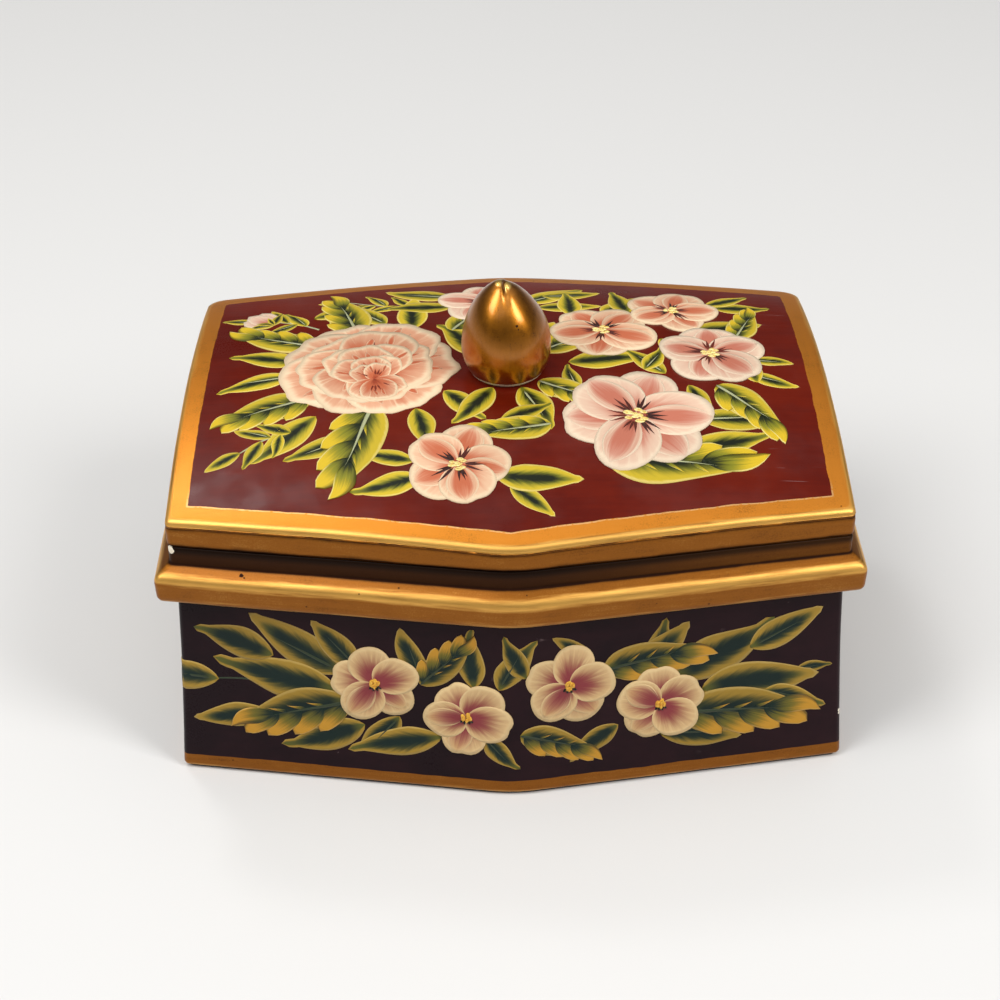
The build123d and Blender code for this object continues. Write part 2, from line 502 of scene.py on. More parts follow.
def makeGoldGroup():
    tree, given, result = newGroup("antiqueGold", {
        "Hairs": (0.0, 0.0, 0.0),
        "Top": tone(226, 142, 46),
        "Side": tone(140, 84, 24),
        "Deep": tone(74, 38, 13),
        "Edge": tone(248, 192, 98),
        "Recess": tone(44, 22, 9),
        "Speck": tone(62, 32, 14),
        "Streaks": 0.35,
        "Pinholes": 0.7,
    }, ("Base Color", "Roughness", "Coat Weight", "Height"))
    where = millimetres(tree)
    mark = readAttribute(tree, "mark")
    normal = addNode(tree, "ShaderNodeTexCoord").outputs["Normal"]
    upward = ramp(alongAxis(normal, "Z"), 0.89, 0.965)
    streak = grain(given["Hairs"], 1.0, 4.0, 0.6, 0.25)
    blotch = grain(where, 0.085, roughness=0.6)
    fine = grain(where, 2.4, roughness=0.65)
    # Level faces took an even coat and the sides show the brush. Upward faces get the bright Top colour and
    # the sides the browner Side colour, as painted shade.
    drawn = times(given["Streaks"], scaled(upward, -0.65, 1.0))
    lift = shifted(shifted(shifted(0.5, streak, drawn), blotch, 0.35), fine, 0.4)
    colour = mixColour(upward, given["Side"], given["Top"])
    colour = mixColour(times(ramp(lift, 0.5, 0.22), 0.8), colour, given["Deep"])
    colour = mixColour(times(ramp(lift, 0.5, 0.8), 0.22), colour, given["Edge"])
    # On arrises (mark above 0) the Edge colour is rubbed wear and a painted highlight. In recesses and under
    # edges (mark below 0) the Recess colour is dark glaze and painted shade.
    rubbedWearAndHighlight = times(ramp(shifted(mark, streak, 1.1), 0.3, 1.05), 0.75)
    colour = mixColour(rubbedWearAndHighlight, colour, given["Edge"])
    darkGlazeAndShade = ramp(shifted(times(mark, -1.0), blotch, 0.8), 0.1, 0.75)
    colour = mixColour(darkGlazeAndShade, colour, given["Recess"])
    # Pinholes and specks in the metallic paint
    cells = addNode(tree, "ShaderNodeTexVoronoi", {"Vector": where, "Scale": 0.2}).outputs
    chance = addNode(tree, "ShaderNodeSeparateColor", {0: cells["Color"]}).outputs[0]
    hole = times(calculate("LESS_THAN", cells["Distance"], 0.06), calculate("GREATER_THAN", chance, 0.62))
    hole = times(hole, given["Pinholes"])
    rough = shifted(shifted(scaled(darkGlazeAndShade, 0.25, 0.42), streak, 0.1), fine, 0.14)
    feed(result, {
        "Base Color": mixColour(hole, colour, given["Speck"]),
        "Roughness": plus(rough, times(hole, 0.3)),
        "Coat Weight": scaled(darkGlazeAndShade, -0.1, 0.1),
        "Height": minus(scaled(streak, 0.35, times(fine, 0.5)), hole),
    })
    return tree


def makePaintGroup():
    tree, given, result = newGroup("satinPaint", {
        "Base": tone(98, 20, 3),
        "Thin": tone(114, 32, 9),
        "Thick": tone(84, 14, 3),
        "Scratch": tone(176, 150, 150),
    }, ("Base Color", "Roughness", "Height"))
    where = millimetres(tree)
    cloud = grain(where, 0.03, 4.0, 0.6)
    bristle = grain(stretched(where, (0.05, 0.55, 0.3), 0.12), 1.0, 4.0, 0.6, 0.3)
    speck = grain(where, 2.2, 2.0, 0.5)
    shade = shifted(cloud, bristle, 0.25)
    colour = mixColour(ramp(shade, 0.35, 0.6), given["Thick"], given["Base"])
    colour = mixColour(times(ramp(shade, 0.55, 0.8), 0.6), colour, given["Thin"])
    # Fine scratches from things set down on it
    lines = grain(stretched(where, (0.045, 1.3, 0.2), 0.7), 1.0, 2.0, 0.5, 0.6)
    scratch = times(ramp(lines, 0.7, 0.76), ramp(grain(where, 0.045, 2.0), 0.55, 0.7))
    rough = shifted(shifted(0.33, cloud, 0.3), speck, 0.12)
    feed(result, {
        "Base Color": mixColour(times(scratch, 0.35), colour, given["Scratch"]),
        "Roughness": scaled(scratch, 0.15, rough),
        "Height": minus(scaled(bristle, 0.6, times(speck, 0.25)), times(scratch, 0.4)),
    })
    return tree


def makeChipGroup():
    # A knock that bares the white clay, round a given point
    tree, given, result = newGroup("bareChip", {"Centre": (0.0, 0.0, 0.0), "Size": 1.0}, ("Mask",))
    where = millimetres(tree)
    inputs = {0: where, 1: given["Centre"]}
    away = addNode(tree, "ShaderNodeVectorMath", inputs, operation="DISTANCE").outputs[1]
    reach = times(given["Size"], scaled(grain(where, 0.9), 1.6, 0.2))
    feed(result, {"Mask": calculate("LESS_THAN", away, reach)})
    return tree


goldGroup = makeGoldGroup()
paintGroup = makePaintGroup()
chipGroup = makeChipGroup()
print("finish groups made")


def brushedAlong(tree):
    # The brush was drawn along the mouldings, so its hairs leave long thin lines
    where = millimetres(tree)
    section = times(readAttribute(tree, "section"), 0.85)
    return joined(times(alongAxis(where, "X"), 0.06), times(alongAxis(where, "Y"), 0.06), section)


def mixSurfaces(share, under, over):
    mixed = {key: mixValue(share, under[key], over[key]) for key in under if key != "Base Color"}
    return {**mixed, "Base Color": mixColour(share, under["Base Color"], over["Base Color"])}


def finishSurface(tree, shader, surface, knocks, depth=0.06, coatRough=0.25):
    # The knocks (centre, size, colour) go over everything, then the result feeds the shader
    for centre, size, shade in knocks:
        mask = placeGroup(tree, chipGroup, Centre=centre, Size=size)["Mask"]
        surface = mixSurfaces(mask, surface, {
            "Base Color": tone(*shade), "Metallic": 0.0, "Coat Weight": 0.0, "Roughness": 0.8,
            "Height": minus(surface["Height"], 2.0)})
    height = surface.pop("Height")
    feed(shader.inputs, {**surface, "Coat Roughness": coatRough, "Specular IOR Level": 0.09,
                         "Normal": bumped(height, depth)})


def makeLidMaterial():
    v = lidValues
    material, tree, shader = newMaterial("lidFinish")
    gold = placeGroup(tree, goldGroup, Hairs=brushedAlong(tree))
    paint = placeGroup(tree, paintGroup)
    where = millimetres(tree)
    # The border was cut in by hand, so its edge wavers
    rag = grain(where, 1.1, 2.0)
    edge = shifted(shifted(readAttribute(tree, "field"), grain(where, 0.11, 2.0), 1.1), rag, 0.22)
    panel = ramp(edge, v["borderWidth"], v["borderWidth"] + 0.14)
    # Along the front the border's inner edge was drawn over with a thin pale line
    front = ramp(alongAxis(where, "Y"), -46.0, -53.0)
    line = times(ramp(edge, v["paleLine"], v["paleLine"] + 0.2), ramp(rag, 0.3, 0.5))
    line = times(times(line, front), 0.5)
    gold.update({"Base Color": mixColour(line, gold["Base Color"], tone(248, 214, 156)), "Metallic": 0.85})
    varnish = scaled(ramp(grain(where, 0.05, roughness=0.6), 0.38, 0.66), 0.3, 0.06)
    paint.update({"Metallic": 0.0, "Coat Weight": varnish})
    chips = [((x, y, crownHeight(x, y)), size, bareClay) for x, y, size in v["chips"]]
    finishSurface(tree, shader, mixSurfaces(panel, gold, paint), chips)
    return material


def makeBodyMaterial():
    v = bodyValues
    material, tree, shader = newMaterial("bodyFinish")
    gold = placeGroup(tree, goldGroup, Hairs=brushedAlong(tree))
    # The walls' paint is a darker plum than the lid's panel. In part this is painted shade for the upright
    # walls.
    paint = placeGroup(tree, paintGroup, Base=tone(36, 17, 22), Thin=tone(46, 24, 28),
                       Thick=tone(27, 13, 18))
    where = millimetres(tree)
    height = alongAxis(where, "Z")
    low = shifted(height, grain(where, 0.09, 2.0), 1.0)
    wall = ramp(low, v["goldBand"], v["goldBand"] + 0.12)
    wall = times(wall, calculate("LESS_THAN", height, v["paintTop"]))
    # Inside, the same dark paint starts within the rim of the neck
    inner = scaled(ramp(height, 74.0, 76.0), -3.5, readAttribute(tree, "field"))
    wall = calculate("MAXIMUM", wall, calculate("GREATER_THAN", inner, 1.7))
    # The neck between lid and flange is painted nearly black-brown, in part a painted shade for the recess
    # under the lid, and darkest just under the lid, a painted shadow.
    # Towards its right end less of the dark colour is mixed in, so it is lighter there.
    neck = times(ramp(height, 73.3, 74.3), ramp(height, 79.62, 79.5))
    neckDarkShare = scaled(ramp(alongAxis(where, "X"), 0.0, 92.0), -0.42, 0.94)
    colour = mixColour(times(neck, neckDarkShare), gold["Base Color"], tone(40, 19, 7))
    underLidShadow = times(times(neck, ramp(height, 76.6, 78.8)), 0.8)
    gold.update({
        "Base Color": mixColour(underLidShadow, colour, tone(14, 7, 4)),
        "Metallic": mixValue(neck, 0.85, 0.3),
        "Coat Weight": mixValue(neck, gold["Coat Weight"], 0.0),
    })
    paint.update({"Metallic": 0.0, "Coat Weight": 0.0})
    knocks = [(*chip, bareClay) for chip in v["chips"]] + [(*pit, darkPit) for pit in v["pits"]]
    finishSurface(tree, shader, mixSurfaces(wall, gold, paint), knocks)
    return material


def makeKnobMaterial():
    material, tree, shader = newMaterial("knobFinish")
    where = millimetres(tree)
    # The gold group colours the knob's sides darker than its top, as painted shade.
    # Here the brush went up and down
    gold = placeGroup(tree, goldGroup, Hairs=stretched(where, (0.75, 0.75, 0.05)), Top=tone(250, 204, 106),
                      Side=tone(178, 110, 18), Deep=tone(88, 46, 5), Streaks=0.4, Pinholes=0.1)
    gold.update({"Metallic": 0.98, "Coat Weight": 0.7, "Roughness": minus(gold["Roughness"], 0.11)})
    foot = {"Base Color": tone(*bareClay), "Metallic": 0.0, "Coat Weight": 0.0, "Roughness": 0.8,
            "Height": gold["Height"]}
    low = shifted(alongAxis(where, "Z"), grain(where, 0.5), 0.5)
    bare = calculate("LESS_THAN", low, knobValues["goldFrom"])
    pits = [(*pit, darkPit) for pit in knobValues["pits"]]
    finishSurface(tree, shader, mixSurfaces(bare, gold, foot), pits, depth=0.012, coatRough=0.17)
    return material


def makeFeltMaterial():
    material, tree, shader = newMaterial("feltFinish")
    where = millimetres(tree)
    fibre = grain(where, 1.6, 5.0, 0.7, 1.2)
    shade = ramp(shifted(fibre, grain(where, 0.2), 0.6), 0.3, 0.7)
    feed(shader.inputs, {
        "Base Color": mixColour(shade, tone(22, 20, 22), tone(48, 44, 46)),
        "Roughness": 1.0,
        "Sheen Weight": 0.35,
        "Normal": bumped(fibre, 0.25),
    })
    return material


# Egg knob, turned on its axis, then given its soft cleft and lean by hand

knobValues = {
    "at": (0.0, 1.0),
    "base": 97.25,
    "radius": 12.9,
    "footRadius": 9.8,
    "footHeight": 0.8,
    "belly": 8.2,
    "upper": 20.9,
    "tip": 5.2,
    "around": 128,
    "lean": 1.1,
    "cleftAt": 0.9,
    "cleftWidth": 0.65,
    "cleftDepth": 0.6,
    "cleftDrop": 0.8,
    "lobeDrop": 0.5,
    "flatDepth": 0.2,
    "goldFrom": 98.95,
    "pits": [((2.88, -8.41, 117.45), 0.42), ((3.39, -8.84, 116.35), 0.36)],
}


def knobOutline():
    v = knobValues
    foot = v["footRadius"]
    outline = [(0.0, 0.0), (foot * 0.5, 0.0), (foot - 0.25, 0.0), (foot, 0.2), (foot, v["footHeight"] - 0.2)]
    under = asin((v["belly"] - v["footHeight"]) / v["radius"])
    underSteps = 9
    for step in range(underSteps, 0, -1):
        angle = under * step / underSteps
        outline.append((v["radius"] * cos(angle), v["belly"] - v["radius"] * sin(angle)))
    centre = v["upper"] - v["tip"]
    side = (centre ** 2 + v["radius"] ** 2 - v["tip"] ** 2) / (2 * (v["radius"] - v["tip"]))
    turn = atan2(centre, side - v["radius"])
    sideSteps = 20
    for step in range(sideSteps + 1):
        angle = turn * step / sideSteps
        outline.append((v["radius"] - side * (1 - cos(angle)), v["belly"] + side * sin(angle)))
    tipSteps = 9
    for step in range(1, tipSteps + 1):
        angle = turn + (pi / 2 - turn) * step / tipSteps
        outline.append((v["tip"] * cos(angle), v["belly"] + centre + v["tip"] * sin(angle)))
    return outline


def makeKnob():
    v = knobValues
    bm = bmesh.new()
    sectionLayer = bm.verts.layers.float.new("section")
    markLayer = bm.verts.layers.float.new("mark")
    turns = [2 * pi * step / v["around"] for step in range(v["around"])]
    rings = []
    for radius, height in knobOutline():
        if radius < 0.001:  # the outline starts and ends on the axis
            rings.append([bm.verts.new((0.0, 0.0, height))] * len(turns))
        else:
            rings.append([bm.verts.new((radius * cos(turn), radius * sin(turn), height)) for turn in turns])
    for under, over in zip(rings, rings[1:]):
        for step in range(len(turns)):
            corners = (under[step - 1], under[step], over[step], over[step - 1])
            bm.faces.new(list(dict.fromkeys(corners)))
    top = v["belly"] + v["upper"]
    for vertex in bm.verts:
        x, y, z = vertex.co
        vertex[sectionLayer] = z * 0.7
        vertex[markLayer] = 0.0
        high = ease(z, v["belly"], top)
        # A cleft parts the tip into two lobes, the left one higher, and runs out down the front
        reach = ease(z, top - 7.0, top - 0.5)
        across = (x - v["cleftAt"]) / (v["cleftWidth"] + 1 - reach)
        groove = exp(-across ** 2) * ease(-y, -3.0, 1.0) * reach
        flat = exp(-((x - 3.6) / 3.0) ** 2 - ((z - 16.0) / 4.0) ** 2) * ease(-y, 0.0, 4.0)
        inward = v["cleftDepth"] * groove + v["flatDepth"] * flat
        away = Vector((x, y, 0.0))
        if away.length > 0.001:
            vertex.co -= away.normalized() * min(inward, away.length * 0.5)
        lowered = v["cleftDrop"] * groove + v["lobeDrop"] * ease(x, v["cleftAt"] - 0.3, v["cleftAt"] + 0.6)
        vertex.co.z -= lowered * ease(z, top - 2.5, top)
        vertex.co.x -= v["lean"] * high * high
        wander = noise.noise_vector(vertex.co / 9.0)
        vertex.co += Vector((wander.x, wander.y, 0.0)) * 0.12 * ease(z, 0.8, 4.0)
    move = Matrix.Translation((v["at"][0], v["at"][1], v["base"]))
    bmesh.ops.transform(bm, matrix=Matrix.Scale(mm, 4) @ move, verts=bm.verts)
    return finishMesh(bm, "egg_knob", "lid", makeKnobMaterial())


bodyShell = drawMoulding("painted_body", "body", makeBodyMaterial(), bodyStations())
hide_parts("box_body")
lidShell = drawMoulding("painted_lid", "lid", makeLidMaterial(), lidStations())
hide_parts("lid")
eggKnob = makeKnob()
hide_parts("knob")
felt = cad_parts["base_felt"]
felt.data.materials.clear()
felt.data.materials.append(makeFeltMaterial())
print("body, lid, knob and felt made")


# The flowers. Each brush stroke is a thin closed patch of paint laid on the glaze: a grid bent to the
# stroke's outline, then to the surface. Its own map runs across (x) and along (y) the stroke, and its
# rim value grows from 0 in the middle to 1 at the outline.

def onLid(across, along, lift):
    return handMade(Vector((across, along, crownHeight(across, along)))) + Vector((0.0, 0.0, lift))


wallMiddleReach = 1.0
frontLengths = quarterLengths(wallMiddleReach, plan["frontCorner"])
backLengths = quarterLengths(wallMiddleReach, plan["backCorner"])
frontQuarter, backQuarter = sum(frontLengths), sum(backLengths)


def onWall(along, height, lift):
    # along is the distance round the box from the front ridge, to the right
    halfWay = frontQuarter + backQuarter
    along = (along + halfWay) % (2 * halfWay) - halfWay
    rest = abs(along)
    toBack = rest > frontQuarter
    lengths = backLengths if toBack else frontLengths
    if toBack:
        rest = halfWay - rest
    part = 0
    while part < 3 and rest > lengths[part]:
        rest -= lengths[part]
        part += 1
    corner = cornerAt(-1 if toBack else 1)
    x, y = quarterPoint(wallReach(height) + lift, corner, part, min(rest / lengths[part], 1.0))
    return handMade(Vector((x if along >= 0 else -x, -y if toBack else y, height)))


def newBrush(surface):
    bm = bmesh.new()
    return {"bm": bm, "surface": surface, "map": bm.loops.layers.uv.new("stroke"),
            "tint": bm.verts.layers.float.new("tint"), "rim": bm.verts.layers.float.new("rim")}


def petalForm(length, width, notch=0.0, ruffle=0.06, scallop=1.7):
    # A rounded petal as rays from the flower's heart; the far edge may be notched and is never quite even
    seed = vary(0, 90)

    def place(side, along):
        angle = side * 1.5
        reach = length * cos(angle) / (cos(angle) ** 2 + (length / width * sin(angle)) ** 2)
        uneven = ruffle * noise.noise(Vector((angle * scallop, seed, 0.0)))
        reach *= 1 + uneven - notch * exp(-(angle / 0.14) ** 2)
        return reach * along * sin(angle), reach * along * cos(angle), along
    return place


def bladeForm(length, width, belly=0.42, foot=0.75, tip=1.1, bend=0.0, curl=0.0, wave=0.1, tail=0.0):
    # A stroke with its spine along y: widest at the belly, pointed where tip is above 1, round below.
    # A tail carries the tip on as a narrow round finger.
    seed = vary(0, 90)

    def place(side, along):
        beyond = max((along - belly) / (1 - belly), 0.0)
        half = max(cos(pi / 2 * beyond), 0.0) ** tip if beyond else sin(pi / 2 * along / belly) ** foot
        if beyond:
            half = max(half, tail * sqrt(max(1 - max((along - 0.9) / 0.1, 0.0) ** 2, 0.0)))
        half *= 1 + wave * noise.noise(Vector((along * 3.0, seed, side)))
        spine = length * (bend * sin(pi * along * 0.5) ** 2 + curl * along ** 6)
        rim = abs(side)
        if tip < 1:
            rim = sqrt(side * side + beyond ** 4 * (1 - side * side))
        return width / 2 * side * half + spine, length * (along - abs(side) * 0.04 * half), rim
    return place


def stemForm(length, width, bend=0.0, taper=0.45):
    def place(side, along):
        across = width / 2 * side * (1 - taper * along) + length * bend * sin(pi * along)
        return across, length * along, abs(side)
    return place


def placeOn(at, heading, right, ahead):
    facing = radians(heading)
    return (at[0] + right * sin(facing) + ahead * cos(facing),
            at[1] - right * cos(facing) + ahead * sin(facing))


def layStroke(brush, form, at, heading, lift, steps=(10, 8), tint=None):
    bm = brush["bm"]
    tint = dice.random() if tint is None else tint
    made = bmesh.ops.create_grid(bm, x_segments=steps[0], y_segments=steps[1], size=0.5)["verts"]
    for face in {face for vertex in made for face in vertex.link_faces}:
        for loop in face.loops:
            loop[brush["map"]].uv = (loop.vert.co.x + 0.5, loop.vert.co.y + 0.5)
    for vertex in made:
        right, ahead, rim = form(vertex.co.x * 2, vertex.co.y + 0.5)
        vertex[brush["tint"]] = tint
        vertex[brush["rim"]] = rim
        vertex.co = brush["surface"](*placeOn(at, heading, right, ahead), lift) * mm
    bmesh.ops.remove_doubles(bm, verts=made, dist=0.004 * mm)


def layDab(brush, at, heading, size, lift, tint, slim=0.6):
    # A raised touch of paint from the tip of the brush
    made = bmesh.ops.create_icosphere(brush["bm"], subdivisions=2, radius=1.0)["verts"]
    for vertex in made:
        right, ahead, up = vertex.co.x * size * slim, vertex.co.y * size, vertex.co.z
        vertex[brush["tint"]] = tint
        vertex.co = brush["surface"](*placeOn(at, heading, right, ahead), lift + 0.2 * up) * mm


def layLeaf(kit, at, heading, length, lift, slim=1.0):
    # A plain leaf: one loaded stroke, now and then with a thin rib drawn down it
    width = length * vary(0.36, 0.44) * slim
    bend, curl = vary(-0.13, 0.13), vary(-0.1, 0.1)
    form = bladeForm(length, width, bend=bend, curl=curl, tip=vary(0.7, 1.3), tail=0.3)
    layStroke(kit["leaves"], form, at, heading, lift, steps=(12, 20))
    if dice.random() < 0.45:
        rib = bladeForm(length * 0.6, length * 0.03, belly=0.2, tip=1.3, bend=bend * 0.45, wave=0.0)
        start = placeOn(at, heading, 0.0, length * 0.1)
        layStroke(kit["lines"], rib, start, heading, lift + 0.006, steps=(2, 8), tint=0.7)


def layLobedLeaf(kit, at, heading, length, lift, bend=0.1, side=1, lobes=4):
    # One half is a broad smooth stroke with short veins. The other half is cut into fat commas that
    # start at the rib, and the last of them makes the tip.
    blade = bladeForm(length * 0.96, length * 0.42, belly=0.38, foot=0.6, bend=bend, tip=1.0, tail=0.15)
    layStroke(kit["leaves"], blade, at, heading, lift, steps=(14, 22), tint=0.3)
    height = lift + 0.01

    def onRib(share):
        return placeOn(at, heading, length * bend * sin(pi * share * 0.5) ** 2, length * share)

    for index in range(lobes):
        share = 0.05 + 0.58 * index / (lobes - 1)
        lean = -57 * bend * sin(pi * share)
        size = length * (0.32 + 0.08 * sin(pi * (0.2 + 0.7 * share))) * vary(0.93, 1.07)
        swing = side * -(47 - 20 * share) * vary(0.92, 1.08) + lean
        comma = bladeForm(size, size * 0.48, belly=0.6, foot=0.85, tip=0.45, bend=side * -0.17, wave=0.06)
        tint = dice.random() * 0.9 + (1.0 if side < 0 else 0.0)
        layStroke(kit["lobes"], comma, onRib(share), heading + swing, height, (10, 11), tint)
        height += 0.008
    for index in range(3):
        share = 0.22 + 0.17 * index
        vein = bladeForm(length * 0.17, length * 0.035, belly=0.2, tip=1.5, bend=side * 0.12)
        layStroke(kit["lobes"], vein, onRib(share), heading + side * 36, height, (3, 6), dice.random() * 0.9)
    tipForm = bladeForm(length * 0.42, length * 0.17, belly=0.5, foot=0.9, tip=0.6, bend=bend,
                        curl=side * 0.22)
    layStroke(kit["lobes"], tipForm, onRib(0.66), heading - 57 * bend, height, (10, 12), dice.random() * 0.9)
    rib = bladeForm(length * 0.74, length * 0.032, belly=0.12, tip=1.4, bend=bend * 0.8, wave=0.0)
    layStroke(kit["lines"], rib, at, heading, height + 0.01, steps=(2, 14), tint=0.75)


def laySprig(kit, at, heading, length, leaflets, bend=0.12, leaf=13.0, lift=0.03):
    # A thin stem with leaflets left and right of it and one at its end
    stem = stemForm(length, 0.8, bend)
    layStroke(kit["lines"], stem, at, heading, lift, steps=(2, 16), tint=0.95)
    for index in range(leaflets):
        share = 1.0 if index == leaflets - 1 else 0.22 + 0.72 * index / leaflets
        right, ahead, rim = stem(0.0, share)
        swing = vary(38, 56) * (1 if index % 2 else -1)
        if index == leaflets - 1:
            swing = vary(-8, 8)
        size = leaf * vary(0.85, 1.12)
        layLeaf(kit, placeOn(at, heading, right, ahead), heading + swing, size, lift + 0.01 + 0.006 * index)


def layFlicks(kit, at, heading, start, length, spread, count, lift, tint):
    # Thin dark strokes drawn outwards from the heart
    for index in range(count):
        swing = spread * ((index + 0.5) / count * 2 - 1) + vary(-3, 3)
        reach = length * vary(0.7, 1.15)
        form = bladeForm(reach, 0.3 + reach * 0.1, belly=0.3, foot=0.6, tip=1.3, bend=swing / -190, wave=0.2)
        place = placeOn(at, heading + swing, 0.0, start)
        layStroke(kit["lines"], form, place, heading + swing, lift + 0.004 * index, steps=(2, 6), tint=tint)


def layBlossom(kit, petals, at, size, count, turn=0.0, lift=0.3, heart="lid"):
    # Round petals, each with a broad fold brushed up its middle, dark flicks and a dabbed heart
    brush = kit[petals]
    span = 2 * size * sin(pi / count) * (0.86 if heart == "lid" else 0.82)
    order = sorted(range(count), key=lambda index: 1 - index % 2)  # every other petal lies underneath
    sway = dice.choice((-6, 6))
    headings = []
    for rank, index in enumerate(order):
        heading = turn + 360 * index / count + vary(-6, 6)
        headings.append(heading)
        long, wide = size * vary(0.9, 1.06), span * vary(0.92, 1.1)
        height = lift + 0.016 * rank
        tint = dice.random() * 0.9
        petal = petalForm(long, wide, dice.choice((0.0, 0.0, 0.06)))
        layStroke(brush, petal, at, heading, height, (30, 9), tint)
        if heart == "lid" or rank % 2:
            broad = wide * vary(0.5, 0.62)
            fold = bladeForm(long * vary(0.92, 0.98), broad, belly=0.6, foot=0.85, tip=0.66,
                             bend=vary(-0.07, 0.07), wave=0.06)
            swing = sway + vary(-5, 5)
            layStroke(brush, fold, at, heading + swing, height + 0.008, (12, 12), 1 + tint)
    crownLift = lift + 0.016 * count + 0.03
    if heart == "lid":
        for heading in headings:
            shade = vary(0.0, 0.25)
            layFlicks(kit, at, heading + sway, size * 0.12, size * vary(0.26, 0.4), 17, 3,
                      crownLift - 0.03, shade)
        for index in range(9):
            angle = 40 * index + vary(-10, 10)
            place = placeOn(at, angle, 0.0, size * (0.12 if index % 3 else 0.03))
            layDab(kit["anthers"], place, vary(-15, 15), size * 0.062 * vary(0.8, 1.2),
                   crownLift, vary(0.3, 1.0))
        return
    for index in range(5):
        place = placeOn(at, 72 * index + vary(-20, 20), 0.0, size * 0.07)
        layDab(kit["anthers"], place, vary(60, 120), size * 0.08, crownLift, vary(0.5, 1.0))
    for index in range(4):
        place = placeOn(at, 225 + 30 * index + vary(-10, 10), 0.0, size * 0.13)
        layDab(kit["anthers"], place, 240 + 30 * index, size * 0.06, crownLift - 0.03, 0.0, slim=0.45)


def layScallop(kit, petals, at, heading, long, wide, lift):
    # A frilled petal with pale and dark strokes drawn inside it
    frill = petalForm(long, wide, notch=0.04, ruffle=0.1, scallop=3.4)
    layStroke(kit[petals], frill, at, heading, lift, (36, 9), dice.random() * 0.9)
    for swing in (vary(-20, -8), vary(8, 20)):
        crease = bladeForm(long * vary(0.28, 0.4), long * 0.1, belly=0.55, foot=0.9, tip=0.6,
                           bend=vary(-0.2, 0.2))
        place = placeOn(at, heading + swing, 0.0, long * vary(0.42, 0.52))
        tint = dice.random() * 0.9 + dice.choice((0.0, 1.0))
        layStroke(kit[petals], crease, place, heading + swing * 0.6, lift + 0.005, (6, 7), tint)
    layFlicks(kit, at, heading + vary(-10, 10), long * 0.3, long * 0.3, 16, 3, lift + 0.005, 0.34)


def layRose(kit, petals, at, size, turn=0.0, lift=0.1):
    # A full flower: two loose rings of frilled petals, and a cup of nested ones that opens towards turn
    height = lift
    for ring, (count, share) in enumerate([(7, 1.0), (6, 0.76)]):
        reach = size * share
        for index in range(count):
            heading = turn + 26 * ring + 360 * index / count + vary(-9, 9)
            wide = 2 * reach * sin(pi / count) * vary(1.1, 1.35)
            layScallop(kit, petals, at, heading, reach * vary(0.88, 1.08), wide, height)
            height += 0.012
    cup = [(0.1, 66, 0.52), (0.1, -66, 0.52), (0.2, 34, 0.66), (0.2, -34, 0.66), (0.24, 2, 0.68),
           (0.26, 42, 0.5), (0.26, -40, 0.5), (0.3, -4, 0.5), (0.32, 24, 0.34), (0.32, -22, 0.34)]
    for back, swing, share in cup:
        place = placeOn(at, turn, 0.0, -size * back)
        long = size * share * vary(0.94, 1.06)
        layScallop(kit, petals, place, turn + swing, long, long * vary(0.8, 0.95), height)
        height += 0.012
    for swing in (150, -146, 182):
        place = placeOn(at, turn, 0.0, -size * 0.3)
        layScallop(kit, petals, place, turn + swing, size * 0.4, size * 0.42, height)
        height += 0.012


def layBud(kit, petals, at, heading, size, lift=0.06):
    # A half-opened bud: three folded petals in a green cup
    for swing, share in ((24, 0.92), (-24, 0.92), (0, 1.0)):
        layStroke(kit[petals], petalForm(size * share, size * 0.62), at, heading + swing, lift, (12, 7))
        lift += 0.008
    for swing in (58, -58, 20, -20):
        layLeaf(kit, at, heading + swing, size * (0.75 if abs(swing) > 30 else 0.5), lift)
        lift += 0.006


# What is painted where, in millimetres: on the lid x and y, on the wall the distance round and the height

